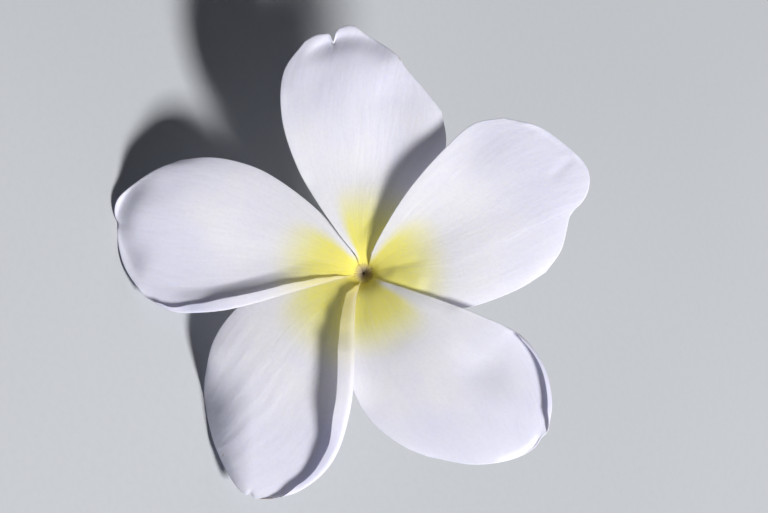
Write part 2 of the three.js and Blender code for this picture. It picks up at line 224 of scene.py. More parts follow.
# The parts on the flower's axis, behind the face, have profiles of (radius, height). The axis bends
# away a little towards its foot.
AXIS_BEND = Vector((0.9, 1.0))
AXIS_FOOT = -23.2
TUBE_OUTSIDE = [
    (1.45, -18), (1.8, -16.6), (1.95, -15), (1.8, -13), (1.5, -10), (1.42, -5), (1.46, -2.6),
    (1.6, -1.2), (1.95, -0.5), (2.45, -0.18), (3.1, 0.02),
]
TUBE_WALL = 0.45
TUBE_RIB_DEPTH, TUBE_RIB_TWIST = 0.05, 0.5
COLLAR_EDGE = 0.06  # how thin the tube's collar runs out behind the petals
CALYX_OUTSIDE = [(0, -19.4), (1.15, -19.4), (2.05, -18.7), (2.42, -17.7), (2.48, -16.6), (2.42, -16.1)]
CALYX_LIP = (2.36, -15.98)
CALYX_INSIDE = [(2.26, -16.3), (2.12, -17.5), (1.6, -18.35), (0, -18.4)]
LOBE_COUNT, LOBE_START, LOBE_FULL = 5, -18.2, -16
LOBE_HEIGHT, NOTCH_DEPTH, LOBE_ROUNDNESS = 1.05, 0.5, 1.4
PEDICEL_PROFILE = [
    (0, -23.2), (0.5, -23.2), (0.9, -23.1), (1.02, -22.8), (0.95, -22), (0.98, -21), (1.16, -20.2),
    (1.1, -19.8), (0.6, -19.7), (0, -19.7),
]
TORN_FROM = 22.7  # how far down the stalk its rough end begins
STAMEN_PROFILE = [
    (0, -17), (0.13, -16.9), (0.13, -16.1), (0.28, -15.8), (0.3, -15), (0.22, -14), (0.08, -13.5),
    (0, -13.4),
]
STAMEN_CIRCLE, STAMEN_COUNT = 0.86, 5
ANTHER_START, ANTHER_FULL = -16.1, -15.7
GROOVE_DEPTH, GROOVE_WIDTH = 0.28, 0.3
PISTIL_PROFILE = [
    (0, -18.1), (0.42, -18), (0.5, -17.6), (0.3, -17.1), (0.14, -16.9), (0.14, -16.7), (0.32, -16.5),
    (0.26, -16.2), (0, -16.1),
]

# The colours of the tissues, as linear red, green and blue.
LAVENDER_WHITE, WARM_WHITE, FILTERED_WHITE = (0.77, 0.77, 0.9), (0.87, 0.86, 0.9), (0.97, 0.97, 0.97)
DEEP_GOLD, PALE_GOLD = (0.97, 0.86, 0.12), (0.93, 0.87, 0.2)
VEIN_GREY, CELL_GREY = (0.58, 0.57, 0.68), (0.6, 0.58, 0.68)
# The two foot colours darken the petal's foot deeper down the throat: partly its own colour, partly
# painted shade of the hole.
FLECK_BROWN, FOOT_TAN_AND_SHADE, FOOT_BROWN_AND_SHADE = (0.38, 0.25, 0.16), (0.62, 0.5, 0.24), (0.42, 0.34, 0.25)
TUBE_CREAM, TUBE_MIDDLE, TUBE_GREEN = (0.83, 0.81, 0.74), (0.74, 0.75, 0.5), (0.5, 0.56, 0.26)
TUBE_STREAK = (0.46, 0.5, 0.24)
DARK_GREEN, LIGHT_GREEN, OLIVE_BLOTCH = (0.13, 0.23, 0.055), (0.24, 0.36, 0.1), (0.33, 0.3, 0.1)
TORN_BROWN = (0.3, 0.19, 0.1)
POLLEN_LIGHT, POLLEN_DARK, ANTHER_BROWN = (0.78, 0.62, 0.16), (0.55, 0.38, 0.1), (0.42, 0.3, 0.12)
PISTIL_GREEN, PISTIL_PALE = (0.52, 0.6, 0.3), (0.68, 0.7, 0.42)


# ---- Curves and margins ----

def smooth(value, low, high):
    """Smoothstep from 0 at low to 1 at high."""
    t = np.clip((value - low) / (high - low), 0, 1)
    return t * t * (3 - 2 * t)


def between(value, low, full, full_until, high):
    """Rises from 0 at low to 1 at full, and falls again from full_until to 0 at high."""
    return smooth(value, low, full) * (1 - smooth(value, full_until, high))


def spline(points, samples=CURVE_SAMPLES):
    """Evenly spaced points on the centripetal Catmull-Rom curve through points."""
    p = np.array(points, float)
    p = np.vstack([2 * p[0] - p[1], p, 2 * p[-1] - p[-2]])
    pieces = []
    for a, b, c, d in zip(p, p[1:], p[2:], p[3:]):
        steps = [math.sqrt(np.linalg.norm(v - u)) for u, v in ((a, b), (b, c), (c, d))]
        k0, k1, k2, k3 = np.cumsum([0, *steps])
        t = np.linspace(k1, k2, 60, endpoint=False)[:, None]
        ab = (k1 - t) / (k1 - k0) * a + (t - k0) / (k1 - k0) * b
        bc = (k2 - t) / (k2 - k1) * b + (t - k1) / (k2 - k1) * c
        cd = (k3 - t) / (k3 - k2) * c + (t - k2) / (k3 - k2) * d
        abc = (k2 - t) / (k2 - k0) * ab + (t - k0) / (k2 - k0) * bc
        bcd = (k3 - t) / (k3 - k1) * bc + (t - k1) / (k3 - k1) * cd
        pieces.append((k2 - t) / (k2 - k1) * abc + (t - k1) / (k2 - k1) * bcd)
    dense = np.vstack(pieces + [p[-2:-1]])
    run = length_of(dense)
    places = np.linspace(0, run[-1], samples + 1)
    return np.stack([np.interp(places, run, dense[:, n]) for n in range(2)], axis=1)


def length_of(curve):
    return np.concatenate([[0], np.cumsum(np.linalg.norm(np.diff(curve, axis=0), axis=1))])


def at(curve, share):
    """Points of an evenly sampled curve, at shares of its length."""
    places = np.linspace(0, 1, len(curve))
    return np.stack([np.interp(share, places, curve[:, n]) for n in range(2)], axis=-1)


def nearest(curve, points):
    """The index of the nearest sample of a curve, and the distance to it, for each point."""
    index = np.empty(len(points), int)
    distance = np.empty(len(points))
    for start in range(0, len(points), 4000):
        part = points[start:start + 4000]
        gaps = np.linalg.norm(part[:, None, :] - curve[None, :, :], axis=2)
        index[start:start + 4000] = gaps.argmin(axis=1)
        distance[start:start + 4000] = gaps.min(axis=1)
    return index, distance


def outward_of(curve):
    """The flat direction to the left of a curve, at each of its samples."""
    along = np.gradient(curve, axis=0)
    along /= np.linalg.norm(along, axis=1, keepdims=True)
    return np.stack([-along[:, 1], along[:, 0]], axis=1)


def throat_points(angles_deg):
    angles = np.radians(angles_deg)
    return THROAT_RADIUS * np.stack([np.cos(angles), np.sin(angles)], axis=-1)


# ---- The petal's outline and its surface ----

def keyed(run, places, values):
    """Values that pass smoothly from one key place to the next along a run."""
    after = np.clip(np.searchsorted(places, run, side="right"), 1, len(places) - 1)
    share = smooth(run, places[after - 1], places[after])
    return values[after - 1] + (values[after] - values[after - 1]) * share


def roll_stations(petal, curve):
    """The roll's section at each sample of the upper margin: an elliptic bend, then a straight flap.

    reach is how far inside the visible outline the bend begins, arc is the bend's length, and
    slant_out and slant_up are the flap's direction.
    """
    keys = np.array(petal["roll"], float)
    run = length_of(curve)
    turn, width, height_of_edge = (keyed(run, keys[:, 0], keys[:, n]) for n in (1, 2, 3))
    turn = np.radians(np.maximum(turn, 1))
    bend = np.minimum(ROLL_BEND, ROLL_BEND_SHARE * width)
    rise = height_of_edge / 2
    steps = np.linspace(0, 1, 25)[:, None] * turn
    speed = np.hypot(bend * np.cos(steps), rise * np.sin(steps))
    arc = turn * (speed[1:] + speed[:-1]).mean(axis=0) / 2
    slant_out, slant_up = np.stack([bend * np.cos(turn), rise * np.sin(turn)]) / speed[-1]
    flap = width - bend
    reach = np.where(turn > math.pi / 2, bend, bend * np.sin(turn) + flap * slant_out)
    return {"turn": turn, "bend": bend, "rise": rise, "arc": arc, "flap": flap, "reach": reach,
            "slant_out": slant_out, "slant_up": slant_up}


def petal_plan(petal):
    """The petal's outline, with the rolled margin laid out flat."""
    under_angle = petal["throat"][0] + THROAT_SLIT_DEG
    upper_angle = petal["throat"][1] - THROAT_SLIT_DEG
    upper = spline([tuple(throat_points(upper_angle)), *petal["upper"]])
    under = spline([tuple(throat_points(under_angle)), *petal["under"]])
    end = spline([petal["upper"][-1], *petal["end"], petal["under"][-1]])
    roll = roll_stations(petal, upper)
    hidden = roll["arc"] + roll["flap"] - roll["reach"]
    flat_upper = upper + outward_of(upper) * hidden[:, None]
    return {
        "angles": (under_angle, upper_angle), "upper": upper, "under": under, "end": end,
        "flat_upper": flat_upper, "roll": roll,
        "outline": np.vstack([flat_upper, end[1:], under[-2::-1]]),
    }


def patch(plan, across, along):
    """A smooth four-sided patch between the petal's margins, as a flat grid of points."""
    under_angle, upper_angle = plan["angles"]
    start = throat_points(under_angle + (upper_angle - under_angle) * across)[None, :, :]
    end = at(plan["end"], 1 - across)[None, :, :]
    under = at(plan["under"], along)[:, None, :]
    upper = at(plan["flat_upper"], along)[:, None, :]
    q = across[None, :, None]
    s = along[:, None, None]
    corners = (
        (1 - q) * (1 - s) * start[:, :1] + q * (1 - s) * start[:, -1:]
        + (1 - q) * s * end[:, :1] + q * s * end[:, -1:]
    )
    return (1 - s) * start + s * end + (1 - q) * under + q * upper - corners


def height(petal, points, across):
    """How far the petal's middle surface stands out of the face, before its own dents and curls."""
    radius = np.linalg.norm(points, axis=-1)
    outside = np.maximum(radius - THROAT_RADIUS, 0)
    mouth = MOUTH_RISE * (1 - np.exp(-outside / MOUTH_WIDTH))
    funnel = petal["funnel"] * (1 - np.exp(-outside / FUNNEL_WIDTH))
    far = petal["slope"] * outside - petal["arch"] * (radius / PETAL_REACH) ** ARCH_POWER
    share = np.clip((radius - TWIST_START) / (TWIST_FULL - TWIST_START), 0, 1)
    side = 2 * across - 1
    tilt = side + (side * np.abs(side) - side) * share
    fade = LIFT_FADE * smooth(radius, LIFT_FADE_START, LIFT_FADE_END)
    twist = tilt * np.sqrt(share) * np.where(tilt > 0, petal["lift"] * (1 - fade), petal["drop"])
    return mouth + funnel + far + twist - droop(petal, points)


def droop(petal, points):
    """How far a petal's left side hangs."""
    if "droop" not in petal:
        return 0
    start, curve, top, bottom = petal["droop"]
    past = np.maximum(start - points[:, 0], 0)
    return curve * past ** 2 * smooth(-points[:, 1], -top, -bottom)


def oval(points, x, y, length, breadth, turn_deg):
    """A bell of height 1 over an oval place."""
    turn = math.radians(turn_deg)
    dx = points[:, 0] - x
    dy = points[:, 1] - y
    u = (dx * math.cos(turn) + dy * math.sin(turn)) / length
    v = (dy * math.cos(turn) - dx * math.sin(turn)) / breadth
    return np.exp(-(u * u + v * v))


def curl(plan, points, margin, station, start, finish, width, rise):
    """The margin between two places on the outline turns up by rise, over width."""
    run = length_of(plan["outline"])
    places, _ = nearest(plan["outline"], np.array([start, finish], float))
    low, high = sorted(run[places])
    fade = EDGE_FADE * max(1, width / 2)
    window = between(run[station], low - fade, low, high, high + fade)
    return window * rise * np.clip(1 - margin / width, 0, 1) ** 2


def fold(points, line, depth, width_left, width_right):
    """A soft valley along a curve, fading out at both ends. Its two walls may be of different widths."""
    curve = spline(line, 120)
    index, distance = nearest(curve, points)
    offset = np.einsum("ij,ij->i", points - curve[index], outward_of(curve)[index])
    width = np.where(offset > 0, width_left, width_right)
    run = index / (len(curve) - 1)
    window = between(run, 0, FOLD_FADE, 1 - FOLD_FADE, 1)
    return -depth * window * np.exp(-(distance / width) ** 2)


def pleats(petal, points, across):
    """Ripples along the veins, which wander a little."""
    radius = np.linalg.norm(points, axis=1)
    wander = 0.6 * np.sin(radius * 0.21) + 0.35 * np.sin(across * 17)
    relief = np.zeros(len(points))
    for low, high, start, finish, count, rise in petal["pleats"]:
        window = between(across, low, low + PLEAT_SIDE_FADE, high - PLEAT_SIDE_FADE, high)
        window *= between(radius, start, start + PLEAT_START_FADE, finish - PLEAT_END_FADE, finish)
        relief += rise * window * np.sin(2 * math.pi * count * across + wander)
    return relief


def own_relief(petal, plan, points, across):
    """The petal's own curls, folds, dents and pleats, and each point's distance from the margin."""
    station, margin = nearest(plan["outline"], points)
    relief = pleats(petal, points, across)
    for start, finish, width, rise in petal["curls"]:
        relief += curl(plan, points, margin, station, start, finish, width, rise)
    for line, depth, left, right in petal["folds"]:
        relief += fold(points, line, depth, left, right)
    for x, y, length, breadth, turn_deg, depth in petal["dents"]:
        relief -= depth * oval(points, x, y, length, breadth, turn_deg)
    return relief, margin


def swell(petal, plan, points):
    """How far the petal rises towards a margin, along stretches of it."""
    rise = np.zeros(len(points))
    for margin, start, full, finish, near, far, height_there in petal["swells"]:
        index, distance = nearest(plan[margin], points)
        run = length_of(plan[margin])[index]
        window = between(run, start, full, full, finish)
        rise += height_there * window * (1 - smooth(distance, near, far))
    return rise


def nudged(petal, points):
    """Pushes small places on the margin in or out."""
    moved = points.copy()
    for x, y, push_x, push_y, breadth, reach in petal["nudges"]:
        share = oval(points, x, y, reach, breadth, math.degrees(math.atan2(push_y, push_x)))
        moved += share[:, None] * (push_x, push_y)
    return moved


def roll_up(plan, points):
    """Turns the flat upper margin up and over. Returns the moved points and their lift."""
    index, _ = nearest(plan["upper"], points)
    outward = outward_of(plan["upper"])[index]
    roll = {key: values[index] for key, values in plan["roll"].items()}
    past = np.einsum("ij,ij->i", points - plan["upper"][index], outward) + roll["reach"]
    angle = roll["turn"] * np.clip(past / roll["arc"], 0, 1)
    on_flap = np.maximum(past - roll["arc"], 0)
    out = roll["bend"] * np.sin(angle) + on_flap * roll["slant_out"]
    lift = roll["rise"] * (1 - np.cos(angle)) + on_flap * roll["slant_up"]
    shift = np.where(past > 0, out - past, 0)
    return points + outward * shift[:, None], lift


def foot_rows(plan, across, bulge):
    """The rows of the petal's foot, from deep in the tube up to the throat.

    The middle of the foot bulges into the throat, so that the hole between the petals is a star.
    """
    angles = np.radians(plan["angles"][0] + (plan["angles"][1] - plan["angles"][0]) * across)
    rows = []
    for radius, level in FOOT_PROFILE:
        share = (THROAT_RADIUS - radius) / (THROAT_RADIUS - FOOT_NARROWEST)
        radii = radius - bulge * share * np.sin(math.pi * across) ** FOOT_BULGE_POWER
        levels = np.full(len(across), level)
        rows.append(np.stack([radii * np.cos(angles), radii * np.sin(angles), levels], axis=1))
    return np.array(rows)


def petal_grid(petal):
    """The petal's middle surface, and what its colours need to know about each point."""
    plan = petal_plan(petal)
    even = np.linspace(0, 1, PETAL_COLUMNS + 1)
    crowded = (1 - np.cos(math.pi * even)) / 2
    across = even + (crowded - even) * COLUMN_CROWDING
    along = np.linspace(0, 1, PETAL_ROWS + 1) ** ROW_CROWDING
    flat = patch(plan, across, along)
    rows, columns = flat.shape[:2]
    points = flat.reshape(-1, 2)
    wide = np.tile(across, rows)
    relief, margin = own_relief(petal, plan, points, wide)
    moved, lift = roll_up(plan, points)
    moved = nudged(petal, moved)
    level = height(petal, points, wide) + relief + lift + swell(petal, plan, moved)
    surface = np.column_stack([moved, level]).reshape(rows, columns, 3)
    foot = foot_rows(plan, across, petal["bulge"])
    foot_levels = np.array([level for _, level in FOOT_PROFILE])
    out = np.concatenate([np.repeat(THROAT_RADIUS + foot_levels[:, None], columns, axis=1),
                          np.linalg.norm(flat, axis=2)])
    flecks = sum((oval(points, *fleck) for fleck in petal["flecks"]), np.zeros(len(points)))
    return {
        "surface": np.concatenate([foot, surface]),
        "across": np.tile(across, (rows + len(foot), 1)),
        "out": out,
        "margin": np.concatenate([np.ones((len(foot), columns)), margin.reshape(rows, columns)]),
        "fleck": np.concatenate([np.zeros((len(foot), columns)), flecks.reshape(rows, columns)]),
    }


def yellow_share(petal, across, out):
    """How yellow the petal is: full around the throat, gone at the glow's end and at its two sides."""
    low, high, end = petal["glow"]
    narrower = GLOW_NARROWS * (out / end) ** 2
    low, high = low + narrower, high - narrower
    wedge = between(across, low - GLOW_EDGE, low + GLOW_EDGE, high - GLOW_EDGE, high + GLOW_EDGE)
    wedge += (1 - wedge) * (1 - smooth(out, THROAT_RADIUS, YELLOW_ALL_ROUND))
    return wedge * (1 - smooth(out, end * GLOW_FULL, end))


def grid_normals(grid):
    """Area-weighted normals of a grid of points, pointing out of the face."""
    a, b, c, d = grid[:-1, :-1], grid[1:, :-1], grid[1:, 1:], grid[:-1, 1:]
    facing = np.cross(c - a, d - b)
    normals = np.zeros_like(grid)
    normals[:-1, :-1] += facing
    normals[1:, :-1] += facing
    normals[1:, 1:] += facing
    normals[:-1, 1:] += facing
    return normals / np.linalg.norm(normals, axis=2, keepdims=True)


# ---- Meshes ----

def object_from(name, points, faces, numbers, grain):
    """A smooth piece from points in the flower's axes, in millimetres, laid in its place.

    numbers are named values for each point, and grain is where each point lies along and across
    the veins, which the materials read.
    """
    mesh = bpy.data.meshes.new(name)
    mesh.from_pydata([tuple(p) for p in points * MM], [], faces)
    for key, values in numbers.items():
        layer = mesh.attributes.new(key, "FLOAT", "POINT")
        layer.data.foreach_set("value", np.asarray(values, np.float32))
    layer = mesh.attributes.new("grain", "FLOAT_VECTOR", "POINT")
    layer.data.foreach_set("vector", np.asarray(grain, np.float32).ravel())
    mesh.transform(TO_WORLD)
    mesh.polygons.foreach_set("use_smooth", np.ones(len(mesh.polygons), bool))
    mesh.update()
    piece = bpy.data.objects.new(name, mesh)
    bpy.context.scene.collection.objects.link(piece)
    return piece


def grid_faces(rows, columns, first=0, flip=False):
    i, j = np.meshgrid(np.arange(rows - 1), np.arange(columns - 1), indexing="ij")
    a = (first + i * columns + j).ravel()
    quads = np.stack([a, a + columns, a + columns + 1, a + 1], axis=1)
    return (quads[:, ::-1] if flip else quads).tolist()


def rim_loop(rows, columns):
    """The numbers of the points on a grid's boundary, all the way round."""
    number = np.arange(rows * columns).reshape(rows, columns)
    return np.concatenate([number[0, :-1], number[:-1, -1], number[-1, :0:-1], number[:0:-1, 0]])


def petal_object(name, petal, index):
    grid = petal_grid(petal)
    middle = grid["surface"]
    rows, columns = middle.shape[:2]
    count = rows * columns
    normals = grid_normals(middle)
    taper = 1 - np.exp(-grid["margin"] / MARGIN_TAPER)
    half = (MARGIN_THICKNESS + (PETAL_THICKNESS - MARGIN_THICKNESS) * taper)[:, :, None] / 2
    front = (middle + normals * half).reshape(-1, 3)
    back = (middle - normals * half).reshape(-1, 3)
    loop = rim_loop(rows, columns)
    edge = middle.reshape(-1, 3)[loop]
    direction = np.roll(edge, -1, axis=0) - np.roll(edge, 1, axis=0)
    outward = np.cross(direction, normals.reshape(-1, 3)[loop])
    outward /= np.linalg.norm(outward, axis=1, keepdims=True)
    inside = np.einsum("ij,ij->i", outward, edge - middle[rows // 2, columns // 2])
    outward *= np.sign(np.median(inside))
    rim = edge + outward * half.reshape(-1, 1)[loop]
    faces = grid_faces(rows, columns) + grid_faces(rows, columns, count, flip=True)
    after = np.roll(loop, -1)
    rim_here = 2 * count + np.arange(len(loop))
    rim_after = np.roll(rim_here, -1)
    faces += np.stack([loop, after, rim_after, rim_here], axis=1).tolist()
    faces += np.stack([rim_here, rim_after, after + count, loop + count], axis=1).tolist()
    order = np.concatenate([np.arange(count), np.arange(count), loop])
    across, out, fleck = (grid[key].ravel()[order] for key in ("across", "out", "fleck"))
    numbers = {
        "yellow": yellow_share(petal, across, out),
        "out": out,
        "fleck": fleck,
        "front": np.concatenate([np.ones(count), np.zeros(count), np.full(len(loop), 0.5)]),
    }
    grain = np.column_stack([across, out, np.full(len(order), index)])
    return object_from(name, np.vstack([front, back, rim]), faces, numbers, grain)


def turned_object(name, profile, around=96, closed=False, shape=None, centre=(0, 0)):
    """A piece turned about the flower's own axis, which bends a little.

    profile is a smooth list of (radius, height). It starts and ends on the axis, or closes on
    itself. shape(angle, radius, height) may change the radius and height of each point.
    """
    profile = np.array(profile, float)
    if not closed:
        profile[0, 0] = profile[-1, 0] = 0
    angles = np.linspace(0, 2 * math.pi, around, endpoint=False)
    radius = np.repeat(profile[:, :1], around, axis=1)
    level = np.repeat(profile[:, 1:], around, axis=1)
    angle = np.tile(angles, (len(profile), 1))
    if shape:
        radius, level = shape(angle, radius, level)
    bend = (level / AXIS_FOOT) ** 2
    x = radius * np.cos(angle) + AXIS_BEND.x * bend + centre[0]
    y = radius * np.sin(angle) + AXIS_BEND.y * bend + centre[1]
    points = np.stack([x, y, level], axis=2).reshape(-1, 3)
    rings = np.arange(len(points)).reshape(len(profile), around)
    if closed:
        rings = np.vstack([rings, rings[:1]])
    here, up = rings[:-1], rings[1:]
    turn_here, turn_up = np.roll(here, -1, axis=1), np.roll(up, -1, axis=1)
    faces = np.stack([here, turn_here, turn_up, up], axis=2).reshape(-1, 4)
    if not closed:
        points, faces = join_poles(points, faces, len(profile), around)
    faces = [list(dict.fromkeys(face)) for face in faces.tolist()]
    down = np.abs(points[:, 2] / AXIS_FOOT)
    return object_from(name, points, faces, {"down": down}, points)


def join_poles(points, faces, rings, around):
    """Joins the points of the first and the last ring of a turned piece into one pole each."""
    faces = faces.copy()
    last = (rings - 1) * around
    faces[faces < around] = 0
    faces[faces >= last] = last
    used, packed = np.unique(faces, return_inverse=True)
    return points[used], packed.reshape(faces.shape)


# ---- Materials ----

class Surface:
    """A material whose shader is fed by nodes.

    The value of any input may be a plain number or another node's output.
    """

    def __init__(self, name, **settings):
        self.material = bpy.data.materials.new(name)
        self.material.use_nodes = True
        self.nodes = self.material.node_tree.nodes
        self.shader = self.nodes["Principled BSDF"]
        for key, value in settings.items():
            self.shader.inputs[key.replace("_", " ")].default_value = value

    def join(self, value, socket):
        if isinstance(value, bpy.types.NodeSocket):
            self.material.node_tree.links.new(value, socket)
        else:
            socket.default_value = value

    def add(self, kind, *values, **settings):
        """Adds a node and joins values to its inputs in order. Returns its first output."""
        made = self.nodes.new("ShaderNode" + kind)
        for key, value in settings.items():
            setattr(made, key, value)
        for socket, value in zip(made.inputs, values):
            if value is not None:
                self.join(value, socket)
        return made.outputs[0]

    def math(self, operation, a, b=0.0, clamp=False):
        return self.add("Math", a, b, operation=operation, use_clamp=clamp)

    def number(self, name):
        """A named value of the mesh's points."""
        made = self.nodes.new("ShaderNodeAttribute")
        made.attribute_name = name
        return made.outputs["Fac"]

    def grain(self, scale, shift=(0, 0, 0)):
        """The mesh's own grain coordinates, scaled."""
        made = self.nodes.new("ShaderNodeAttribute")
        made.attribute_name = "grain"
        mapping = self.nodes.new("ShaderNodeMapping")
        self.join(made.outputs["Vector"], mapping.inputs["Vector"])
        mapping.inputs["Scale"].default_value = scale
        mapping.inputs["Location"].default_value = shift
        return mapping.outputs["Vector"]

    def noise(self, where, scale=1.0, detail=3.0, roughness=0.55, distortion=0.0):
        made = self.nodes.new("ShaderNodeTexNoise")
        self.join(where, made.inputs["Vector"])
        made.inputs["Scale"].default_value = scale
        made.inputs["Detail"].default_value = detail
        made.inputs["Roughness"].default_value = roughness
        made.inputs["Distortion"].default_value = distortion
        return made.outputs[0]

    def place(self):
        made = self.nodes.new("ShaderNodeTexCoord")
        return made.outputs["Object"]

    def fit(self, value, low, high, new_low=0.0, new_high=1.0, soft=True):
        made = self.nodes.new("ShaderNodeMapRange")
        made.interpolation_type = "SMOOTHSTEP" if soft else "LINEAR"
        for socket, number in zip(made.inputs, (value, low, high, new_low, new_high)):
            self.join(number, socket)
        return made.outputs[0]

    def blend(self, share, first, second):
        """Mixes two colours."""
        made = self.nodes.new("ShaderNodeMix")
        made.data_type = "RGBA"
        colours = [socket for socket in made.inputs if socket.type == "RGBA"]
        self.join(share, made.inputs["Factor"])
        for socket, colour in zip(colours, (first, second)):
            self.join(colour if isinstance(colour, bpy.types.NodeSocket) else (*colour, 1), socket)
        return next(socket for socket in made.outputs if socket.type == "RGBA")

    def bump(self, relief, distance, strength=1.0, under=None):
        made = self.nodes.new("ShaderNodeBump")
        made.inputs["Strength"].default_value = strength
        made.inputs["Distance"].default_value = distance
        self.join(relief, made.inputs["Height"])
        if under is not None:
            self.join(under, made.inputs["Normal"])
        return made.outputs[0]

    def feed(self, name, value):
        self.join(value, self.shader.inputs[name])

    def let_light_through(self, share, colour):
        """Part of the surface passes light on from behind."""
        thin = self.nodes.new("ShaderNodeBsdfTranslucent")
        self.join(colour, thin.inputs["Color"])
        both = self.nodes.new("ShaderNodeMixShader")
        self.join(share, both.inputs["Fac"])
        self.join(self.shader.outputs["BSDF"], both.inputs[1])
        self.join(thin.outputs["BSDF"], both.inputs[2])
        self.join(both.outputs["Shader"], self.nodes["Material Output"].inputs["Surface"])


def petal_material():
    """White, faintly lavender petal tissue with a yellow glow at the throat and fine fanned veins."""
    skin = Surface(
        "petal_tissue", Subsurface_Weight=0.3, Subsurface_Radius=(1.0, 0.9, 0.65),
        Subsurface_Scale=0.0006, Specular_IOR_Level=0.3, Sheen_Weight=0.05, Sheen_Roughness=0.4, IOR=1.38,
    )
    front = skin.number("front")
    out = skin.number("out")
    streaks = skin.noise(skin.grain((34, 0.22, 7)), detail=3.5)
    broad_veins = skin.noise(skin.grain((13, 0.1, 3), (0.3, 0, 0)), detail=2.0)
    clouds = skin.noise(skin.place(), scale=95, detail=2.5)
    cells = skin.noise(skin.place(), scale=2000, detail=2.5)

    # The yellow ends in feathery streaks. On the back of the petal it ends nearer the throat.
    yellow = skin.number("yellow")
    ragged = skin.math("MULTIPLY", skin.math("SUBTRACT", streaks, 0.5), 0.6)
    yellow = skin.math("ADD", yellow, skin.math("MULTIPLY", ragged, yellow), clamp=True)
    back_yellow = skin.math("MULTIPLY", yellow, skin.fit(out, 1.5, 4.5, 0.4, 0.0))
    yellow = skin.math("ADD", skin.math("MULTIPLY", yellow, front),
                       skin.math("MULTIPLY", back_yellow, skin.math("SUBTRACT", 1.0, front)))

    # The white is warmer near the throat, and a little uneven.
    faint_clouds = skin.fit(clouds, 0, 1, 0.28, 0.72, soft=False)
    warmth = skin.math("ADD", faint_clouds, skin.fit(out, 10, 36, 0.14, -0.12))
    white = skin.blend(skin.fit(warmth, 0.35, 0.7), LAVENDER_WHITE, WARM_WHITE)
    gold = skin.blend(skin.fit(out, 3, 10), DEEP_GOLD, PALE_GOLD)
    colour = skin.blend(yellow, white, gold)

    # Veins and cells barely darken the tissue.
    veins = skin.math("ADD", skin.fit(streaks, 0.4, 0.62), skin.fit(broad_veins, 0.38, 0.62))
    colour = skin.blend(skin.math("MULTIPLY", veins, 0.035), colour, VEIN_GREY)
    colour = skin.blend(skin.fit(cells, 0.4, 0.7, 0.0, 0.1), colour, CELL_GREY)

    # Brown flecks, and the foot down in the throat, tan and then brown deeper down: its own colour with
    # painted shade of the hole.
    fleck = skin.math("MULTIPLY", skin.number("fleck"), skin.fit(cells, 0.2, 0.7, 0.5, 1.2))
    colour = skin.blend(skin.math("MULTIPLY", skin.fit(fleck, 0.15, 0.8), 0.55), colour, FLECK_BROWN)
    depth = skin.math("ADD", out, skin.fit(streaks, 0.3, 0.7, -0.3, 0.3))
    colour = skin.blend(skin.fit(depth, 1.75, 1.2), colour, FOOT_TAN_AND_SHADE)
    colour = skin.blend(skin.fit(depth, 1.4, 0.95), colour, FOOT_BROWN_AND_SHADE)
    skin.feed("Base Color", colour)

    # Light passes through the sheet, more near the throat. It goes in at the one face and out at the
    # other, and the front reflects the larger share.
    share = skin.math("SUBTRACT", skin.fit(out, 5, 24, 0.86, 0.34),
                      skin.math("MULTIPLY", front, skin.fit(out, 5, 24, 0.52, 0.22)))
    skin.let_light_through(share, skin.blend(0.35, colour, FILTERED_WHITE))

    skin.feed("Roughness", skin.fit(streaks, 0.3, 0.7, 0.58, 0.72))
    ridges = skin.bump(skin.math("ADD", streaks, broad_veins), 0.00008, 0.5)
    skin.feed("Normal", skin.bump(cells, 0.00003, 0.3, ridges))
    return skin.material


def tube_material():
    """The tube is petal tissue too, greener towards its foot."""
    skin = Surface(
        "tube_tissue", Subsurface_Weight=0.3, Subsurface_Radius=(1.0, 0.9, 0.5),
        Subsurface_Scale=0.0006, IOR=1.38,
    )
    streaks = skin.noise(skin.grain((2.6, 2.6, 0.16)), detail=3.0)
    cells = skin.noise(skin.place(), scale=2400, detail=2.0)
    down = skin.math("ADD", skin.number("down"), skin.fit(streaks, 0.3, 0.7, -0.06, 0.06))
    colour = skin.blend(skin.fit(down, 0.02, 0.3), TUBE_CREAM, TUBE_MIDDLE)
    colour = skin.blend(skin.fit(down, 0.3, 0.68), colour, TUBE_GREEN)
    colour = skin.blend(skin.fit(streaks, 0.52, 0.7, 0.0, 0.22), colour, TUBE_STREAK)
    skin.feed("Base Color", colour)
    skin.feed("Roughness", skin.fit(cells, 0.3, 0.7, 0.4, 0.55))
    ridges = skin.bump(streaks, 0.00015, 0.6)
    skin.feed("Normal", skin.bump(cells, 0.00003, 0.4, ridges))
    return skin.material


def green_material():
    """Waxy green of the calyx and the stalk, duller and browner at the torn end."""
    skin = Surface(
        "calyx_green", Subsurface_Weight=0.12, Subsurface_Radius=(0.5, 1.0, 0.3), Subsurface_Scale=0.0005,
    )
    streaks = skin.noise(skin.grain((2.2, 2.2, 0.25)), detail=3.0)
    blotches = skin.noise(skin.place(), scale=700, detail=3.0)
    cells = skin.noise(skin.place(), scale=3000, detail=2.0)
    colour = skin.blend(skin.fit(streaks, 0.35, 0.65), DARK_GREEN, LIGHT_GREEN)
    colour = skin.blend(skin.fit(blotches, 0.45, 0.75, 0.0, 0.5), colour, OLIVE_BLOTCH)
    brown = skin.math("ADD", skin.number("down"), skin.fit(blotches, 0.3, 0.7, -0.03, 0.03))
    colour = skin.blend(skin.fit(brown, 0.93, 0.985), colour, TORN_BROWN)
    skin.feed("Base Color", colour)
    skin.feed("Roughness", skin.fit(blotches, 0.3, 0.7, 0.38, 0.55))
    ridges = skin.bump(streaks, 0.0002, 0.6)
    skin.feed("Normal", skin.bump(cells, 0.00004, 0.5, ridges))
    return skin.material


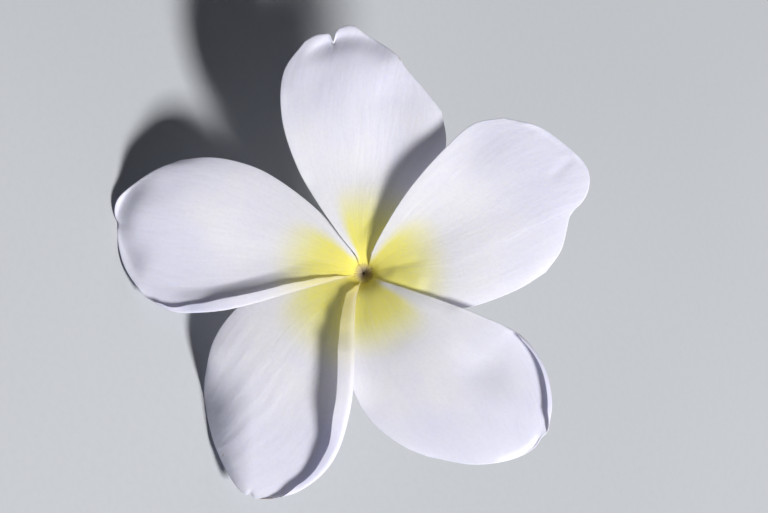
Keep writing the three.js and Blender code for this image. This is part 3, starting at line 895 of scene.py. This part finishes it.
def anther_material():
    """Dry yellow anthers with a grainy pollen skin."""
    skin = Surface("anther_pollen")
    grains = skin.noise(skin.place(), scale=5200, detail=3.0)
    lobes = skin.noise(skin.grain((6, 6, 0.8)), detail=2.0)
    colour = skin.blend(skin.fit(grains, 0.35, 0.7), POLLEN_LIGHT, POLLEN_DARK)
    colour = skin.blend(skin.fit(lobes, 0.5, 0.7, 0.0, 0.4), colour, ANTHER_BROWN)
    skin.feed("Base Color", colour)
    skin.feed("Roughness", skin.fit(grains, 0.3, 0.7, 0.6, 0.85))
    skin.feed("Normal", skin.bump(grains, 0.00004, 0.8))
    return skin.material


def pistil_material():
    """Pale green ovary and stigma."""
    skin = Surface("pistil_tissue", Subsurface_Weight=0.2, Subsurface_Scale=0.0004)
    cells = skin.noise(skin.place(), scale=4200, detail=2.5)
    colour = skin.blend(skin.fit(cells, 0.35, 0.7), PISTIL_GREEN, PISTIL_PALE)
    skin.feed("Base Color", colour)
    skin.feed("Roughness", skin.fit(cells, 0.3, 0.7, 0.35, 0.55))
    skin.feed("Normal", skin.bump(cells, 0.00003, 0.6))
    return skin.material


# ---- The flower ----

def dress(piece, node, material):
    piece.data.materials.append(material)
    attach(piece, "root")
    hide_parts(node)


def make_petals():
    tissue = petal_material()
    for index, (name, petal) in enumerate(PETALS.items()):
        dress(petal_object("fine_" + name, petal, index), name, tissue)


def make_tube():
    """The tube, ribbed by the five petals that it is grown from, with a collar behind the face."""
    outside = spline(TUBE_OUTSIDE, 90)
    share = smooth(outside[:, 1], -1.6, 0.0)
    wall = TUBE_WALL + (COLLAR_EDGE - TUBE_WALL) * share
    inside = outside + outward_of(outside) * wall[:, None]
    inside[:, 0] = np.where(inside[:, 0] < outside[:, 0], inside[:, 0], outside[:, 0] - wall)

    def ribs(angle, radius, level):
        depth = TUBE_RIB_DEPTH * between(level, -17.5, -14, -3, -1)
        return radius * (1 + depth * np.cos(angle * len(PETALS) + level * TUBE_RIB_TWIST)), level

    profile = np.vstack([outside, inside[::-1]])
    tube = turned_object("fine_corolla_tube", profile, around=128, closed=True, shape=ribs)
    dress(tube, "corolla_tube", tube_material())


def make_calyx(green):
    """A small cup with five ovate lobes."""
    profile = np.vstack([spline(CALYX_OUTSIDE, 40), [CALYX_LIP], spline(CALYX_INSIDE, 34)])

    def lobes(angle, radius, level):
        rise = smooth(level, LOBE_START, LOBE_FULL)
        wave = np.abs(np.cos(LOBE_COUNT / 2 * angle)) ** LOBE_ROUNDNESS
        ribbing = 0.035 * np.cos(LOBE_COUNT * angle) + 0.012 * np.cos(35 * angle)
        return radius * (1 + ribbing * rise), level + rise * (LOBE_HEIGHT * wave - NOTCH_DEPTH)

    dress(turned_object("fine_calyx", profile, around=200, shape=lobes), "calyx", green)


def make_pedicel(green):
    """The stalk, ridged, with a rough end where it was picked."""
    def ridges(angle, radius, level):
        ridge = 0.035 * np.cos(7 * angle + level * 0.4) + 0.015 * np.cos(19 * angle - level)
        torn = smooth(-level, TORN_FROM, -AXIS_FOOT) * np.minimum(radius, 0.9)
        rough = 0.12 * np.sin(3 * angle + 1) + 0.07 * np.sin(8 * angle + radius * 9)
        return radius * (1 + ridge), level + torn * (0.19 + rough) * 0.9

    profile = spline(PEDICEL_PROFILE, 90)
    dress(turned_object("fine_pedicel", profile, around=112, shape=ridges), "pedicel", green)


def make_stamens(pollen):
    """Five anthers in a ring inside the tube, each of two lobes."""
    for n in range(STAMEN_COUNT):
        turn = 2 * math.pi * n / STAMEN_COUNT
        centre = (STAMEN_CIRCLE * math.cos(turn), STAMEN_CIRCLE * math.sin(turn))

        def two_lobes(angle, radius, level):
            anther = smooth(level, ANTHER_START, ANTHER_FULL)
            off_groove = np.sin((angle - turn) / 2 + math.pi / 2) / GROOVE_WIDTH
            return radius * (1 - GROOVE_DEPTH * anther * np.exp(-off_groove ** 2)), level

        name = f"stamen_{n + 1}"
        profile = spline(STAMEN_PROFILE, 44)
        stamen = turned_object("fine_" + name, profile, around=40, shape=two_lobes, centre=centre)
        dress(stamen, name, pollen)


def make_pistil():
    pistil = turned_object("fine_pistil", spline(PISTIL_PROFILE, 60), around=48)
    dress(pistil, "pistil", pistil_material())


# ---- Camera, light and table ----

# The camera looks straight at the face. One pixel of the picture is PIXEL_MM at the throat.
CAMERA_DISTANCE = 0.43
PIXEL_MM = 0.155
PICTURE_PX = (768, 513)
THROAT_PX = (363.5, 273.2)
SENSOR_MM = 36.0

# From the throat to the light, in the flower's axes.
KEY_DIRECTION = (0.64, -0.53, 0.56)
KEY_DISTANCE, KEY_SIZE, KEY_POWER, KEY_COLOUR = 2.0, 0.45, 66, (1, 0.99, 0.97)
SKY_COLOUR, SKY_STRENGTH = (0.88, 0.93, 1), 0.085
TABLE_REACH = 4.0
TABLE_DARK, TABLE_LIGHT, TABLE_SPECKLE = (0.42, 0.437, 0.465), (0.455, 0.472, 0.505), (0.35, 0.37, 0.4)


def add_camera():
    data = bpy.data.cameras.new("camera")
    data.sensor_width = SENSOR_MM
    data.lens = SENSOR_MM * CAMERA_DISTANCE / (PICTURE_PX[0] * PIXEL_MM * MM)
    data.clip_start = 0.01
    data.clip_end = 20
    camera = bpy.data.objects.new("camera", data)
    bpy.context.scene.collection.objects.link(camera)
    aim_x = (PICTURE_PX[0] / 2 - THROAT_PX[0]) * PIXEL_MM * MM
    aim_y = (THROAT_PX[1] - PICTURE_PX[1] / 2) * PIXEL_MM * MM
    camera.matrix_world = TO_WORLD @ Matrix.Translation(Vector((aim_x, aim_y, CAMERA_DISTANCE)))
    bpy.context.scene.camera = camera


def add_light(name, direction, distance, size, power, colour):
    """A square soft light. direction is in the flower's axes, from the throat to the light."""
    data = bpy.data.lights.new(name, "AREA")
    data.size = size
    data.energy = power
    data.color = colour
    light = bpy.data.objects.new(name, data)
    bpy.context.scene.collection.objects.link(light)
    towards = (TO_WORLD.to_3x3() @ Vector(direction)).normalized()
    light.location = THROAT_PLACE + towards * distance
    light.rotation_euler = towards.to_track_quat("Z", "Y").to_euler()


def add_table():
    mesh = bpy.data.meshes.new("table_top")
    corners = [(-1, -1, 0), (1, -1, 0), (1, 1, 0), (-1, 1, 0)]
    mesh.from_pydata([(x * TABLE_REACH, y * TABLE_REACH, z) for x, y, z in corners], [], [(0, 1, 2, 3)])
    table = bpy.data.objects.new("table_top", mesh)
    bpy.context.scene.collection.objects.link(table)
    top = Surface("pale_table")
    speckle = top.noise(top.place(), scale=900, detail=3.0)
    clouds = top.noise(top.place(), scale=6, detail=2.0)
    colour = top.blend(top.fit(clouds, 0.3, 0.7), TABLE_DARK, TABLE_LIGHT)
    top.feed("Base Color", top.blend(top.fit(speckle, 0.4, 0.8, 0.0, 0.1), colour, TABLE_SPECKLE))
    top.feed("Roughness", top.fit(speckle, 0.3, 0.7, 0.75, 0.9))
    table.data.materials.append(top.material)


def add_surroundings():
    world = bpy.data.worlds.new("studio")
    world.use_nodes = True
    background = world.node_tree.nodes["Background"]
    background.inputs["Color"].default_value = (*SKY_COLOUR, 1)
    background.inputs["Strength"].default_value = SKY_STRENGTH
    bpy.context.scene.world = world


make_petals()
make_tube()
calyx_green = green_material()
make_calyx(calyx_green)
make_pedicel(calyx_green)
make_stamens(anther_material())
make_pistil()
add_camera()
add_light("key", KEY_DIRECTION, KEY_DISTANCE, KEY_SIZE, KEY_POWER, KEY_COLOUR)
add_table()
add_surroundings()
bpy.context.scene.view_settings.view_transform = "Standard"
# Light is passed on between the petals many times down in the throat.
bpy.context.scene.cycles.max_bounces = 16
bpy.context.scene.cycles.diffuse_bounces = 12
